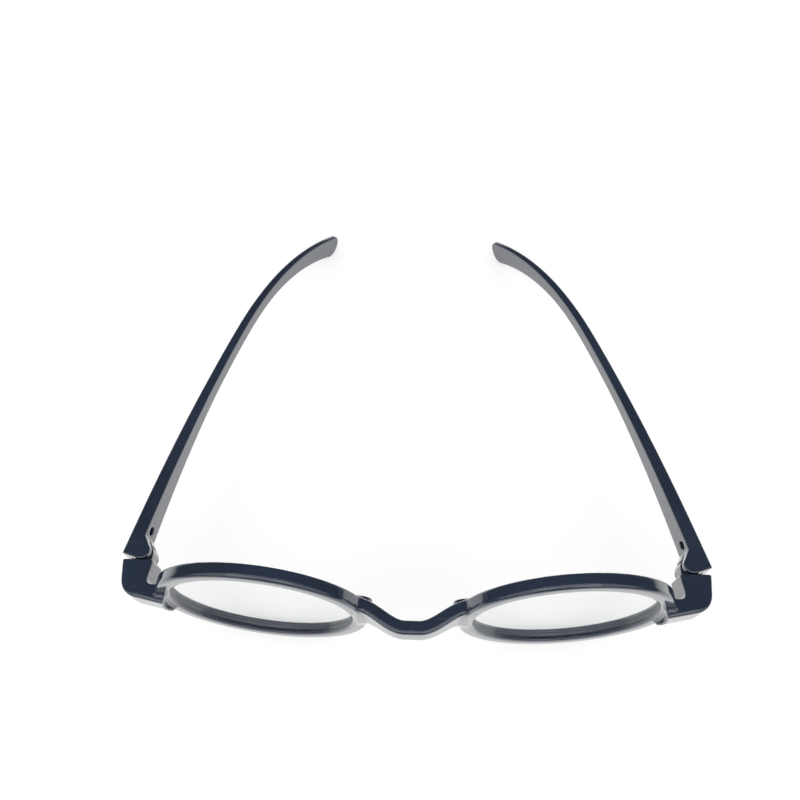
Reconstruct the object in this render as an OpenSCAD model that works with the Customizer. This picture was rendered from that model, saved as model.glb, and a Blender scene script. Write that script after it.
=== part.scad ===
// Round eyeglasses, one moulded front with two folding temples.
// Millimetres, +Z up, the front faces -Y and the temples run towards +Y.
// They stand on z = 0 on the bottoms of the rims and on the two temple tips,
// and the origin is below the middle of the whole object.

/* [Rims] */
// Diameter of the opening that shows inside each rim
opening_d = 40; // [37:0.5:42]
// Width of the rim's ring, seen from the front
rim_w = 3.4; // [3:0.1:4]
// Depth of the rim, front to back
rim_t = 3; // [2.8:0.1:3.4]
// Width of the rounding inside the rim's front
front_in = 1.2; // [0.8:0.05:1.4]
// Depth of the rounding inside the rim's front
front_in_deep = 0.5; // [0.3:0.05:0.6]
// Radius of the rounding outside the rim's front
front_out = 0.8; // [0.4:0.05:0.9]
// Radius of the rounding outside the rim's back
back_out = 0.35; // [0.2:0.05:0.5]
// Width of the flare inside the rim's back
back_in = 0.6; // [0.3:0.05:0.8]
// Depth of that flare
back_in_deep = 1; // [0.5:0.05:1]
// Distance between the two ring centres
ring_gap = 66.3; // [64:0.1:68]
// Turn of each ring about its own upright line, outer side to the back
wrap = 4.2; // [2:0.1:6]
// How far the front leans back when the glasses stand on a table
lean = 5.5; // [4:0.1:7]

/* [Lenses] */
// Thickness of a lens
lens_t = 1.5; // [1.2:0.1:1.8]
// Radius that both faces of a lens are curved to
lens_curve = 116; // [90:1:200]
// Depth of the groove that holds a lens
groove = 0.7; // [0.5:0.05:1]
// Gap between a lens and its groove
lens_fit = 0.05; // [0.02:0.01:0.1]

/* [Bridge] */
// Height of the bridge's top above the ring centres
bridge_top = 6.9; // [6:0.1:8]
// Height of the bridge's middle, top to bottom
bridge_h = 7.2; // [6:0.1:8]
// Height of the bridge where it meets the rims
bridge_root_h = 12; // [11:0.1:13]
// Rise of the bridge's top from the middle to the rims
bridge_rise = 1.6; // [1:0.1:2]
// Depth of the bridge, front to back
bridge_t = 3; // [2.6:0.1:3.4]
// How far the bridge stands forward of the ring centres
bridge_bow = 5.8; // [4:0.1:7]
// Half width of the straight part in the middle
bridge_flat = 1.5; // [1:0.1:2.5]
// Radius that rounds the bridge's long edges
bridge_round = 1; // [0.6:0.05:1.2]
// Depth over which its front face curves back to its lower edge
bridge_low_in = 1.1; // [1:0.05:1.5]
// Height over which it does
bridge_low_up = 3; // [1.5:0.1:4]
// Diameter of the flat round bosses behind the bridge's ends
boss_d = 5; // [4:0.1:5.6]
// How far the bosses stand out behind the rims
boss_t = 1; // [0.6:0.05:1.2]
// Distance from the middle to a boss
boss_x = 11.4; // [11:0.1:12]
// Height of a boss above the ring centres
boss_z = 3.4; // [2:0.1:4]

/* [Endpieces] */
// Height of an endpiece
end_h = 9.8; // [9:0.1:10.6]
// Height of an endpiece's middle above the ring centres
end_z = 0.2; // [-1:0.1:1]
// Height of an endpiece where it meets the temple
butt_h = 7.4; // [7:0.1:8]
// Height of the joint's middle above the ring centres
butt_z = 0.9; // [0.5:0.1:1.2]
// Wall of an endpiece where it meets the temple
butt_t = 5.5; // [5.2:0.1:5.8]
// Distance from the middle to the outer side of the joint with the temple
butt_x = 65; // [64:0.1:67]
// Distance from the ring centres back to the joint with the temple
butt_y = 8; // [7.4:0.1:8.6]
// Length of the straight side in front of the joint
side_l = 4.4; // [4:0.1:5]
// Distance from the outer side in to the corner behind the front
throat_in = 6.5; // [6.2:0.1:6.8]
// Backward slope of the endpiece's front face, seen from above
end_sweep = 12; // [8:0.5:14]
// Outward slope of the endpiece's side
end_flare = 8; // [4:0.5:10]
// Radius of the turn from the front to the side
turn_r = 5; // [4.6:0.1:5.4]
// Radius that rounds the endpiece's long edges
end_round = 0.7; // [0.4:0.05:0.9]
// How far outside the opening's edge an endpiece's front bar ends
bar_out = 1.2; // [0.8:0.1:1.6]
// Depth over which the bar's front face curves back to its lower edge
bar_low_in = 1.5; // [1:0.05:2]
// Height over which it does
bar_low_up = 5.5; // [3:0.1:6]
// Bevel on the outer edge of the joint
butt_bevel = 0.5; // [0.3:0.05:0.7]
// Diameter of the flat round marks behind the endpieces
mark_d = 4.6; // [4:0.1:4.8]
// Depth of those marks
mark_deep = 0.15; // [0.1:0.01:0.3]

/* [Hinge] */
// Diameter of the round end of the tongue on the front
tongue_d = 4; // [3.8:0.1:4.2]
// Height of the tongue
tongue_h = 3.3; // [3:0.1:3.6]
// Diameter of the round ends of the temple's fork
fork_d = 3.6; // [3.3:0.1:3.6]
// Gap above and below the tongue
fork_gap = 0.15; // [0.1:0.01:0.25]
// Gap between the endpiece and the open temple
butt_gap = 0.15; // [0.1:0.01:0.25]
// Distance from the outer side in to the hinge axis
axis_in = 3.9; // [3.8:0.05:4]
// Distance from the endpiece's back face to the hinge axis
axis_back = 2.05; // [2:0.01:2.2]
// Gap round the tongue inside the fork
tongue_room = 0.3; // [0.2:0.02:0.36]
// Diameter of the screw's shank
screw_d = 1.5; // [1.3:0.05:1.7]
// Gap between the shank and the tongue's bore
screw_fit = 0.06; // [0.02:0.01:0.1]
// Gap between the shank and the fork's bores
screw_seat = 0.02; // [0.01:0.01:0.05]
// Diameter of the screw's head
head_d = 2.6; // [2.4:0.1:2.8]
// Thickness of the screw's head
head_t = 0.7; // [0.5:0.05:0.9]
// How deep the head lies inside the fork
head_in = 0.1; // [0.05:0.01:0.2]
// Plastic left over the blind end of the screw's bore
blind_t = 0.7; // [0.5:0.05:0.9]
// Width of the slot in the screw's head
slot_w = 0.4; // [0.3:0.05:0.5]
// Depth of the slot in the screw's head
slot_deep = 0.3; // [0.2:0.05:0.4]

/* [Temples] */
// Length of a temple from the joint to its tip
temple_l = 117; // [110:0.5:122]
// Length before the inward bend behind the ear
ear_at = 78; // [74:0.5:82]
// Length before the temple starts to turn down
drop_at = 67; // [64:0.5:72]
// Outward slope of the open temple at the joint
start_out = 5; // [3:0.1:7]
// Inward turn of the temple before the ear bend
bow_turn = 10; // [8:0.1:12]
// How late that turn comes, from 1, evenly spread
bow_late = 1.3; // [1:0.05:1.5]
// Further inward turn from the ear bend to the tip
tip_turn = 11.6; // [9:0.1:14]
// Downward turn to the tip
drop_turn = 35; // [30:0.5:40]
// Thickness of the arm just behind the hinge block
arm_t = 3.3; // [3:0.1:3.6]
// Thickness of the arm halfway
arm_mid_t = 2.4; // [2:0.1:2.8]
// Thickness of the arm at the tip
arm_tip_t = 1.5; // [1.4:0.05:1.8]
// Height of the arm halfway
arm_h = 3.9; // [3.6:0.1:5]
// Height of the rounded tip
tip_h = 7; // [6.2:0.1:8]
// Length over which the height falls from the hinge block's
fall_l = 55; // [45:1:65]
// How fast the height falls at first, from 1, evenly
fall_early = 1.6; // [1:0.05:2]
// Radius that rounds the arm's long edges
arm_round = 0.45; // [0.3:0.05:0.6]
// Length of the thick block at the hinge
block_l = 2.7; // [2.4:0.1:3.2]
// Length of the block's slanted end
block_ramp = 2.6; // [2.4:0.1:3.4]
// Diameter of the round dimple inside the arm behind the block
dimple_d = 2; // [1.6:0.1:2.4]
// Depth of that dimple
dimple_deep = 0.5; // [0.3:0.05:0.8]
// Distance from the joint to the dimple
dimple_at = 7; // [6.8:0.1:9]
// How far the left temple is folded in from fully open as it stands here
fold_left = 16.5; // [12:0.5:20]
// The same for the right temple
fold_right = 19; // [12:0.5:22]

/* [Hidden] */
plastic = "#10131f";
fine = 96;
eps = 0.01;
ring_x = ring_gap / 2;
opening_r = opening_d / 2;
rim_r = opening_r + rim_w;
seat_r = opening_r + groove;
end_low = end_z - end_h / 2;
axis_x = butt_x - axis_in;
axis_y = butt_y + axis_back;
leaf_in = 0.1;
over = 1;
screw_end = 0.2;
leaf_half = butt_h / 2 - leaf_in;
fork_low = butt_z - leaf_half;
fork_top = butt_z + leaf_half;
tongue_low = butt_z - tongue_h / 2;
bore_top = fork_top - blind_t;
head_low = fork_low + head_in;
head_top = head_low + head_t;

// Height of the ring centres when the rims' bottoms touch the table
ring_slope = cos(wrap) * sin(lean);
ring_z = rim_r * sqrt(1 - ring_slope * ring_slope) + (rim_t / 2 - back_out) * ring_slope;

// Corner points of a rounded bar's section, w across and h up, n points a corner.
// Its outer lower corner is rounded over low[0] across and low[1] up.
function bar_section(w, h, r, low, n = 5) =
    let (q = min(r, w / 2 - eps, h / 2 - eps))
    [for (c = [0:3], i = [0:n - 1])
        let (a = 90 * c + 90 * i / (n - 1),
             qx = c == 3 ? max(q, low[0]) : q,
             qz = c == 3 ? max(q, low[1]) : q,
             sx = (c == 0 || c == 3) ? 1 : -1,
             sz = (c < 2) ? 1 : -1)
        [sx * (w / 2 - qx) + qx * cos(a), sz * (h / 2 - qz) + qz * sin(a)]];

// One station of a bar: middle, heading from +Y towards +X, dip, width, height, rounding
function station(p, head, dip, w, h, r, low = [0, 0]) =
    [for (s = bar_section(w, h, r, low))
        [p[0] + s[0] * cos(head) + s[1] * sin(dip) * sin(head),
         p[1] - s[0] * sin(head) + s[1] * sin(dip) * cos(head),
         p[2] + s[1] * cos(dip)]];

// A level station between an inner and an outer point of a wall, seen from above
function wall_station(inner, outer, z, h, r, low = [0, 0]) =
    let (d = outer - inner, m = (outer + inner) / 2)
    station([m[0], m[1], z], atan2(-d[1], d[0]), 0, norm(d), h, r, low);

// A closed skin through stations with equal point counts
module skin(rings) {
    n = len(rings[0]);
    m = len(rings);
    sides = [for (i = [0:m - 2], j = [0:n - 1], k = [0:1])
        k == 0
            ? [i * n + j, i * n + (j + 1) % n, (i + 1) * n + j]
            : [i * n + (j + 1) % n, (i + 1) * n + (j + 1) % n, (i + 1) * n + j]];
    near_cap = [for (j = [n - 1:-1:0]) j];
    far_cap = [for (j = [0:n - 1]) (m - 1) * n + j];
    polyhedron(points = [for (r = rings) each r], faces = concat(sides, [near_cap, far_cap]), convexity = 6);
}

// The right side as drawn, or its mirror image on the left
module at_side(side) {
    if (side > 0) children();
    else mirror([1, 0, 0]) children();
}

// Stands a revolved shape in the right ring's place, its axis along the view
module at_ring() {
    translate([ring_x, 0, 0]) rotate([0, 0, wrap]) rotate([90, 0, 0]) children();
}

// Points along a quarter of an ellipse about c, from angle a on
function quarter(c, rx, ry, a, n = 5) =
    [for (i = [0:n]) [c[0] + rx * cos(a + 90 * i / n), c[1] + ry * sin(a + 90 * i / n)]];

// The right rim, still without its groove
module rim() {
    at_ring() rotate_extrude($fn = fine) polygon(concat(
        [[opening_r - eps, back_in_deep - rim_t / 2], [opening_r + back_in, -rim_t / 2]],
        quarter([rim_r - back_out, back_out - rim_t / 2], back_out, back_out, -90),
        quarter([rim_r - front_out, rim_t / 2 - front_out], front_out, front_out, 0),
        quarter([opening_r + front_in, rim_t / 2 - front_in_deep], front_in + eps, front_in_deep, 90)));
}

// The space inside the right rim: the opening and the lens groove
module lens_space() {
    at_ring() rotate_extrude($fn = fine) polygon([
        [0, -rim_r],
        [opening_r, -rim_r],
        [opening_r, -lens_t / 2 - lens_fit],
        [seat_r, -lens_t / 6 - lens_fit],
        [seat_r, lens_t / 6 + lens_fit],
        [opening_r, lens_t / 2 + lens_fit],
        [opening_r, rim_r],
        [0, rim_r]]);
}

// Right lens with two curved faces and a bevelled edge
module lens() {
    edge = opening_r - lens_fit;
    sink = sqrt(lens_curve * lens_curve - edge * edge);
    color([0.93, 0.95, 0.96, 0.3]) at_ring() rotate_extrude($fn = fine) {
        difference() {
            intersection() {
                translate([0, lens_t / 2 - sink]) circle(r = lens_curve, $fn = 720);
                translate([0, -lens_t]) square([edge, lens_t * 4]);
            }
            translate([0, -lens_t / 2 - sink]) circle(r = lens_curve, $fn = 720);
        }
        polygon([
            [edge - eps, -lens_t / 2],
            [edge, -lens_t / 2],
            [seat_r - lens_fit, -lens_t / 6],
            [seat_r - lens_fit, lens_t / 6],
            [edge, lens_t / 2],
            [edge - eps, lens_t / 2]]);
    }
}

// Bridge: stations from one rim to the other along a bow that comes forward
root_in = 2;
root_x = ring_x - rim_r + root_in;
bridge_root_y = -(ring_x - root_x) * sin(wrap);
bridge_n = 36;
function bridge_run(x) =
    let (u = max(0, (abs(x) - bridge_flat) / (root_x - bridge_flat)))
    u * u * (3 - 2 * u);
function bridge_y(x) = -bridge_bow + (bridge_bow + bridge_root_y) * bridge_run(x);
bridge_rings = [for (i = [0:bridge_n])
    let (x = -root_x + 2 * root_x * i / bridge_n,
         u = abs(x) / root_x,
         d = root_x / bridge_n,
         a = max(-root_x, x - d),
         b = min(root_x, x + d),
         turn = atan2(bridge_y(b) - bridge_y(a), b - a),
         h = bridge_h + (bridge_root_h - bridge_h) * u * u * u,
         top = bridge_top + bridge_rise * u * u * u)
    station([x, bridge_y(x), top - h / 2], 90 - turn, 0, bridge_t, h, bridge_round,
        [bridge_low_in, bridge_low_up])];

// Right endpiece, seen from above: its outer line turns from the front to the side
bend_end = [butt_x - side_l * sin(end_flare), butt_y - side_l * cos(end_flare)];
bend_start = bend_end - turn_r * [cos(end_flare) - sin(end_sweep), cos(end_sweep) - sin(end_flare)];
function front_line(x) = bend_start[1] + (x - bend_start[0]) * tan(end_sweep);
back_gap = 0.05;
function back_line(x) = rim_t / 2 - back_gap + (x - ring_x) * tan(wrap);
throat = [butt_x - throat_in, back_line(butt_x - throat_in)];
throat_r = 0.6;
end_start = ring_x + opening_r + bar_out;
bend_n = 8;
function end_share(i) = i / bend_n * i / bend_n * (3 - 2 * i / bend_n);
function end_level(i) = end_z + (butt_z - end_z) * end_share(i);
function end_high(i) = end_h + (butt_h - end_h) * end_share(i);
function end_low_round(i) = [bar_low_in, bar_low_up] * (1 - end_share(i));
bar_shift = 0.8;
end_rings = concat(
    [for (x = [end_start, (end_start + throat[0]) / 2])
        wall_station([x - bar_shift, back_line(x - bar_shift)], [x, front_line(x)],
            end_z, end_h, end_round, end_low_round(0))],
    [for (i = [0:bend_n])
        let (a = 90 - end_sweep + (end_flare + end_sweep - 90) * i / bend_n,
             side = [cos(a), -sin(a)],
             outer = bend_start + turn_r * [cos(a) - sin(end_sweep), cos(end_sweep) - sin(a)],
             inner = throat + throat_r * ([-1, 1] + side))
        wall_station(inner, outer, end_level(i), end_high(i), end_round, end_low_round(i))],
    [wall_station([butt_x - butt_t, butt_y - butt_bevel],
        [butt_x - butt_bevel * sin(end_flare), butt_y - butt_bevel], butt_z, butt_h, end_round),
     wall_station([butt_x - butt_t, butt_y], [butt_x - butt_bevel, butt_y],
        butt_z, butt_h - butt_bevel, end_round)]);

// Flat round mark pressed into the back where the right endpiece leaves the rim
mark_in = 0.2;
mark_at = rim_r - mark_in;
mark_up = 0.5;
module end_mark() {
    at_ring() translate([mark_at, end_z + mark_up, -rim_t / 2 - mark_deep])
        cylinder(d = mark_d, h = 2 * mark_deep + back_gap, $fn = 64);
}

// Round boss behind the bridge's right end
module boss() {
    translate([boss_x, -(ring_x - boss_x) * tan(wrap), boss_z])
        rotate([0, 0, wrap]) rotate([-90, 0, 0]) cylinder(d = boss_d, h = rim_t / 2 + boss_t, $fn = 48);
}

// Hinge tongue behind the right endpiece, without its bore
module tongue() {
    translate([axis_x, axis_y, tongue_low]) cylinder(d = tongue_d, h = tongue_h, $fn = 64);
    translate([axis_x - tongue_d / 2, butt_y - over, tongue_low]) cube([tongue_d, axis_back + over, tongue_h]);
}

module tongue_bore() {
    translate([axis_x, axis_y, end_low]) cylinder(d = screw_d + 2 * screw_fit, h = end_h, $fn = 48);
}

module front_frame() {
    color(plastic) stand() difference() {
        union() {
            skin(bridge_rings);
            for (side = [-1, 1]) at_side(side) {
                rim();
                boss();
                skin(end_rings);
                tongue();
            }
        }
        for (side = [-1, 1]) at_side(side) {
            lens_space();
            end_mark();
            tongue_bore();
        }
    }
}

// Temple: lengths along it at which it has a station, closer together at the rounded tip
block_end = block_l + block_ramp;
arm_mid_at = 45;
swell_late = 1.5;
cap_least = 0.02;
temple_stops = concat(
    [-butt_t, 0, block_l, block_end],
    [for (i = [1:12]) block_end + (ear_at - block_end) * i / 12],
    [for (i = [1:12]) ear_at + (temple_l - tip_h / 2 - ear_at) * i / 12],
    [for (i = [1:6]) temple_l - tip_h / 2 * (1 - sin(15 * i))]);

// Its outer line, open, as [x, y, z, heading, dip, length]
function temple_head(l) = start_out - bow_turn * pow(min(max(0, l), ear_at) / ear_at, bow_late)
    - tip_turn * max(0, l - ear_at) / (temple_l - ear_at);
function temple_dip(l, tilt) = tilt + drop_turn * max(0, l - drop_at) / (temple_l - drop_at);
function along(a, b, tilt) =
    let (m = (a + b) / 2, dip = temple_dip(m, tilt), head = temple_head(m))
    (b - a) * [cos(dip) * sin(head), cos(dip) * cos(head), -sin(dip)];
function temple_line(tilt) =
    [for (i = 0, p = [butt_x, butt_y + butt_gap, butt_z] + along(0, temple_stops[0], tilt);
          i < len(temple_stops);
          p = p + (i < len(temple_stops) - 1 ? along(temple_stops[i], temple_stops[i + 1], tilt) : [0, 0, 0]),
          i = i + 1)
        let (l = temple_stops[i])
        [p[0], p[1], p[2], temple_head(l), temple_dip(l, tilt), l]];

// Thickness and height of the temple along its length
function temple_t(l) = lookup(l, [
    [block_l, butt_t],
    [block_end, arm_t],
    [arm_mid_at, arm_mid_t],
    [temple_l, arm_tip_t]]);
function temple_h(l) =
    let (fall = arm_h + (butt_h - arm_h) * pow(max(0, 1 - max(0, l) / fall_l), fall_early),
         swell = (tip_h - arm_h) * pow(max(0, (l - ear_at) / (temple_l - ear_at)), swell_late),
         left = temple_l - l,
         cap = left < tip_h / 2 ? sqrt(max(cap_least, 1 - pow(1 - 2 * left / tip_h, 2))) : 1)
    (fall + swell) * cap;

// Where a point of the front's frame lies above the table
function table_z(p) = ring_z + p[2] * cos(lean) - p[1] * sin(lean);

// A point of the open temple, folded in by an angle about the hinge axis
function folded(p, a) =
    [axis_x + (p[0] - axis_x) * cos(a) - (p[1] - axis_y) * sin(a),
     axis_y + (p[0] - axis_x) * sin(a) + (p[1] - axis_y) * cos(a),
     p[2]];

function temple_rings(tilt) =
    [for (q = temple_line(tilt))
        let (w = temple_t(q[5]))
        station([q[0] - w / 2 * cos(q[3]), q[1] + w / 2 * sin(q[3]), q[2]], q[3], q[4], w,
            temple_h(q[5]), arm_round)];

// The temples' tilt is the one that lets the tip of the less folded one rest on the table
rest_fold = min(fold_left, fold_right);
tip_room = 0.02;
function tip_low(tilt) = min([for (r = temple_rings(tilt)) for (p = r) table_z(folded(p, rest_fold))]);
tilt_try = -2;
tilt_near = tilt_try * (tip_low(0) - tip_room) / (tip_low(0) - tip_low(tilt_try));
temple_tilt = tilt_near * (tip_low(0) - tip_room) / (tip_low(0) - tip_low(tilt_near));
arm_rings = temple_rings(temple_tilt);

// Shallow round dimple in the arm's inner face
dimple_up = 0.6;
module dimple() {
    head = temple_head(dimple_at);
    translate([butt_x + dimple_at * sin(head), butt_y + butt_gap + dimple_at * cos(head), butt_z + dimple_up])
        rotate([0, 0, -head]) rotate([0, -90, 0])
            translate([0, 0, arm_t - dimple_deep]) cylinder(d = dimple_d, h = arm_t, $fn = 48);
}

// Right temple, open, before it is folded to where it rests
module temple_open() {
    difference() {
        union() {
            difference() {
                skin(arm_rings);
                translate([axis_x - 2 * butt_t, butt_y - 2 * butt_t, end_low - over])
                    cube([4 * butt_t, 2 * butt_t + butt_gap, end_h + 2 * over]);
                translate([axis_x - butt_t, butt_y - butt_t, end_low - over])
                    cube([butt_t, butt_t + axis_back, end_h + 2 * over]);
            }
            translate([axis_x, axis_y, fork_low]) cylinder(d = fork_d, h = fork_top - fork_low, $fn = 64);
        }
        translate([axis_x, axis_y, tongue_low - fork_gap])
            cylinder(d = tongue_d + 2 * tongue_room, h = tongue_h + 2 * fork_gap, $fn = 64);
        translate([axis_x - butt_t, butt_y - over, tongue_low - fork_gap])
            cube([butt_t + tongue_d / 2 + tongue_room, axis_back + over, tongue_h + 2 * fork_gap]);
        translate([axis_x - butt_t, axis_y - eps, tongue_low - fork_gap])
            cube([butt_t, tongue_d / 2 + tongue_room, tongue_h + 2 * fork_gap]);
        translate([axis_x, axis_y, head_low])
            cylinder(d = screw_d + 2 * screw_seat, h = bore_top - head_low, $fn = 48);
        translate([axis_x, axis_y, end_low - over])
            cylinder(d = head_d + 2 * screw_seat, h = head_top + over - end_low, $fn = 48);
        dimple();
    }
}

// Right hinge screw, its head below
module hinge_screw() {
    difference() {
        union() {
            translate([axis_x, axis_y, head_low]) cylinder(d = head_d, h = head_t, $fn = 48);
            translate([axis_x, axis_y, head_low])
                cylinder(d = screw_d, h = bore_top - screw_end - head_low, $fn = 48);
        }
        translate([axis_x - head_d, axis_y - slot_w / 2, head_low - over])
            cube([2 * head_d, slot_w, over + slot_deep]);
    }
}

// Folds a piece of the temple in from fully open
module fold_in(angle) {
    translate([axis_x, axis_y, 0]) rotate([0, 0, angle]) translate([-axis_x, -axis_y, 0]) children();
}

// Middle of the whole object from front to back on the table
function table_y(p) = p[1] * cos(lean) + p[2] * sin(lean);
front_reach = min([for (r = bridge_rings) for (p = r) table_y(p)]);
back_reach = max([for (r = arm_rings) for (p = r) table_y(folded(p, rest_fold))]);
mid_shift = -(front_reach + back_reach) / 2;

// Moves a piece from the front's own frame to its place on the table
module stand() {
    translate([0, mid_shift, ring_z]) rotate([-lean, 0, 0]) children();
}

module lens_left() { stand() at_side(-1) lens(); }
module lens_right() { stand() at_side(1) lens(); }
module temple_left() { color(plastic) stand() at_side(-1) fold_in(fold_left) temple_open(); }
module temple_right() { color(plastic) stand() at_side(1) fold_in(fold_right) temple_open(); }
module hinge_screw_left() { color("silver") stand() at_side(-1) fold_in(fold_left) hinge_screw(); }
module hinge_screw_right() { color("silver") stand() at_side(1) fold_in(fold_right) hinge_screw(); }

front_frame();
lens_left();
lens_right();
temple_left();
temple_right();
hinge_screw_left();
hinge_screw_right();
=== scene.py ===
# %% [markdown]
# Round eyeglasses moulded in glossy, very dark navy plastic.
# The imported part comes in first. It fixes every size, and each piece built below
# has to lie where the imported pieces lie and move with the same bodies.

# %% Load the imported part
import math
import bpy
import numpy as np
from mathutils import Matrix, Vector


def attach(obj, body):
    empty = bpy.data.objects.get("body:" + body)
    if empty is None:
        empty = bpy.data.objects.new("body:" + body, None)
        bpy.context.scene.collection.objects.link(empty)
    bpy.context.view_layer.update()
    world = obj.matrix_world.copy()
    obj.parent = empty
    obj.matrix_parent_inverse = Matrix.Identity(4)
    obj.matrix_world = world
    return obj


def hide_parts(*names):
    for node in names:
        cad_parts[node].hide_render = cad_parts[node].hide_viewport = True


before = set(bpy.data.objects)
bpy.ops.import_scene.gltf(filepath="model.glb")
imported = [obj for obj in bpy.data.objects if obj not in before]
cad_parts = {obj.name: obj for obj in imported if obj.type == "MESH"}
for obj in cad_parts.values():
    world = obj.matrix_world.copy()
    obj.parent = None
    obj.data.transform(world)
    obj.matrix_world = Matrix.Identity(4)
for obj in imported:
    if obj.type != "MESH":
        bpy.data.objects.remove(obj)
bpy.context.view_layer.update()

MM = 0.001

# %% [markdown]
# A camera is a place, a heading, a dip and a roll. These glasses are looked at steeply
# from above, so the dip is large, and the lens is a little wide because the camera is close.
# The place is in millimetres and the three turns are in degrees.

# %% Camera
CAMERA_AT = (1.351, -82.499, 190.237)
CAMERA_DIP = 64.6197
CAMERA_HEAD = -4.1781
CAMERA_ROLL = -2.6088
LENS = 33.3
SENSOR = 36
NEAREST = 0.01


def in_scene(name, data):
    """A new object in the scene for a mesh, a lamp or a camera."""
    made = bpy.data.objects.new(name, data)
    bpy.context.scene.collection.objects.link(made)
    return made


camera_data = bpy.data.cameras.new("camera")
camera_data.lens = LENS
camera_data.sensor_width = SENSOR
camera_data.clip_start = NEAREST
camera = in_scene("camera", camera_data)
camera.matrix_world = (
    Matrix.Translation(Vector(CAMERA_AT) * MM)
    @ Matrix.Rotation(math.radians(-CAMERA_HEAD), 4, "Z")
    @ Matrix.Rotation(math.radians(90 - CAMERA_DIP), 4, "X")
    @ Matrix.Rotation(math.radians(CAMERA_ROLL), 4, "Z"))
bpy.context.scene.camera = camera
print("camera looks down", CAMERA_DIP, "degrees")

# %% [markdown]
# Materials are built from nodes. These helpers add a node, set its inputs by name or link
# another node's output to them, so that a material below reads as a short list. An input
# that has no name of its own is called by its number, such as n0.

# %% Nodes
WHITE = (1, 1, 1, 1)
MODES = {"MapRange": "interpolation_type", "TexNoise": "noise_dimensions"}


def set_inputs(tree, made, inputs):
    """Inputs of a node, each set to a number or a colour, or linked to an output."""
    for name, value in inputs.items():
        numbered = name[1:].isdigit()
        socket = made.inputs[int(name[1:]) if numbered else name.replace("_", " ")]
        if isinstance(value, bpy.types.NodeSocket):
            tree.links.new(value, socket)
        else:
            socket.default_value = value


def node(tree, kind, mode=None, **inputs):
    """A new node with its mode and inputs set."""
    made = tree.nodes.new("ShaderNode" + kind)
    if mode:
        setattr(made, MODES.get(kind, "operation"), mode)
    set_inputs(tree, made, inputs)
    return made


def maths(tree, mode, *values):
    """The output of a Math node on one, two or three values."""
    return node(tree, "Math", mode, **{"n%d" % i: v for i, v in enumerate(values)}).outputs[0]


def ramp(tree, value, low, high, start=0.0, end=1.0):
    """A value that runs smoothly from start to end as another runs from low to high."""
    return node(
        tree, "MapRange", "SMOOTHSTEP", Value=value, From_Min=low, From_Max=high, To_Min=start,
        To_Max=end).outputs["Result"]


def seen_directly(tree, path):
    """1 for rays from the camera or through a clear lens, otherwise 0."""
    return maths(tree, "MAXIMUM", path["Is Camera Ray"], path["Is Transmission Ray"])


def bare(name):
    """A new material and its tree and principled shader."""
    made = bpy.data.materials.new(name)
    made.use_nodes = True
    return made, made.node_tree, made.node_tree.nodes["Principled BSDF"]


# %% [markdown]
# The object stands on a plain white sheet. The sheet is matt, so it keeps the object's
# shadow. What it lacks to full white is added as a glow that only the camera, mirror-like
# surfaces and clear lenses see, so the glow never lights the object. In gloss the sheet is
# white near the object and fades further out, like a sheet that lies in a dim room: that
# is what leaves the rims dark until they turn well down to the sides. Distances are in metres.

# %% Floor
SHEET = 0.5
SHEET_NEAR = 0.13
SHEET_FAR = 0.36
LEFT_IN_GLOSS = 0.06
GLOW = 0.54
GLOW_FAR = 0.72
GLOW_FROM = 0.3
GLOW_TO = 1.6
FLOOR = 3.0

floor_finish, tree, sheet = bare("white_sheet")
path = node(tree, "LightPath").outputs
spot = node(tree, "TexCoord").outputs["Object"]
away = node(tree, "VectorMath", "LENGTH", n0=spot).outputs["Value"]
near = ramp(tree, away, SHEET_NEAR, SHEET_FAR, 1, LEFT_IN_GLOSS)
by_gloss = maths(tree, "MULTIPLY", path["Is Glossy Ray"], near)
lacking = ramp(tree, away, GLOW_FROM, GLOW_TO, GLOW, GLOW_FAR)
glow = maths(
    tree, "MULTIPLY", maths(tree, "MAXIMUM", seen_directly(tree, path), by_gloss), lacking)
not_gloss = maths(tree, "SUBTRACT", 1.0, path["Is Glossy Ray"])
white = maths(tree, "MULTIPLY", maths(tree, "MAXIMUM", not_gloss, near), SHEET)
grey = node(tree, "CombineColor", n0=white, n1=white, n2=white)
set_inputs(tree, sheet, {
    "Base Color": grey.outputs[0], "Roughness": 1, "Specular IOR Level": 0,
    "Emission Color": WHITE, "Emission Strength": glow})

floor_mesh = bpy.data.meshes.new("floor")
floor_mesh.from_pydata(
    [(-FLOOR, -FLOOR, 0), (FLOOR, -FLOOR, 0), (FLOOR, FLOOR, 0), (-FLOOR, FLOOR, 0)],
    [], [(0, 1, 2, 3)])
floor_mesh.materials.append(floor_finish)
floor = in_scene("floor", floor_mesh)
print("floor is", 2 * FLOOR, "m wide")

# %% [markdown]
# Soft studio light: most of it comes evenly from a pale dome, and three broad lamps in front
# add direction. Upward faces of the dark gloss would mirror the dome and turn grey, so gloss
# sees a dim room there instead, which keeps them as dark as the photograph shows them. Upright
# faces mirror the white sheet. Together the light brings a colour to where it looks as written.

# %% Light
DOME = 0.62
ROOM = 0.09
LAMP_POWER = 6.0
LAMP_SIZE = 1.7
AIM = Vector((0, 0, 0))
LAMPS = {
    "lamp_left": (-0.85, -0.75, 0.95),
    "lamp_right": (0.85, -0.75, 0.95),
    "lamp_above": (0, -0.5, 1.35)}

world = bpy.data.worlds.new("studio")
bpy.context.scene.world = world
world.use_nodes = True
tree = world.node_tree
path = node(tree, "LightPath").outputs
level = node(tree, "MapRange", Value=path["Is Glossy Ray"], To_Min=DOME, To_Max=ROOM)
strength = maths(tree, "MAXIMUM", level.outputs["Result"], seen_directly(tree, path))
set_inputs(tree, tree.nodes["Background"], {"Color": WHITE, "Strength": strength})

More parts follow.
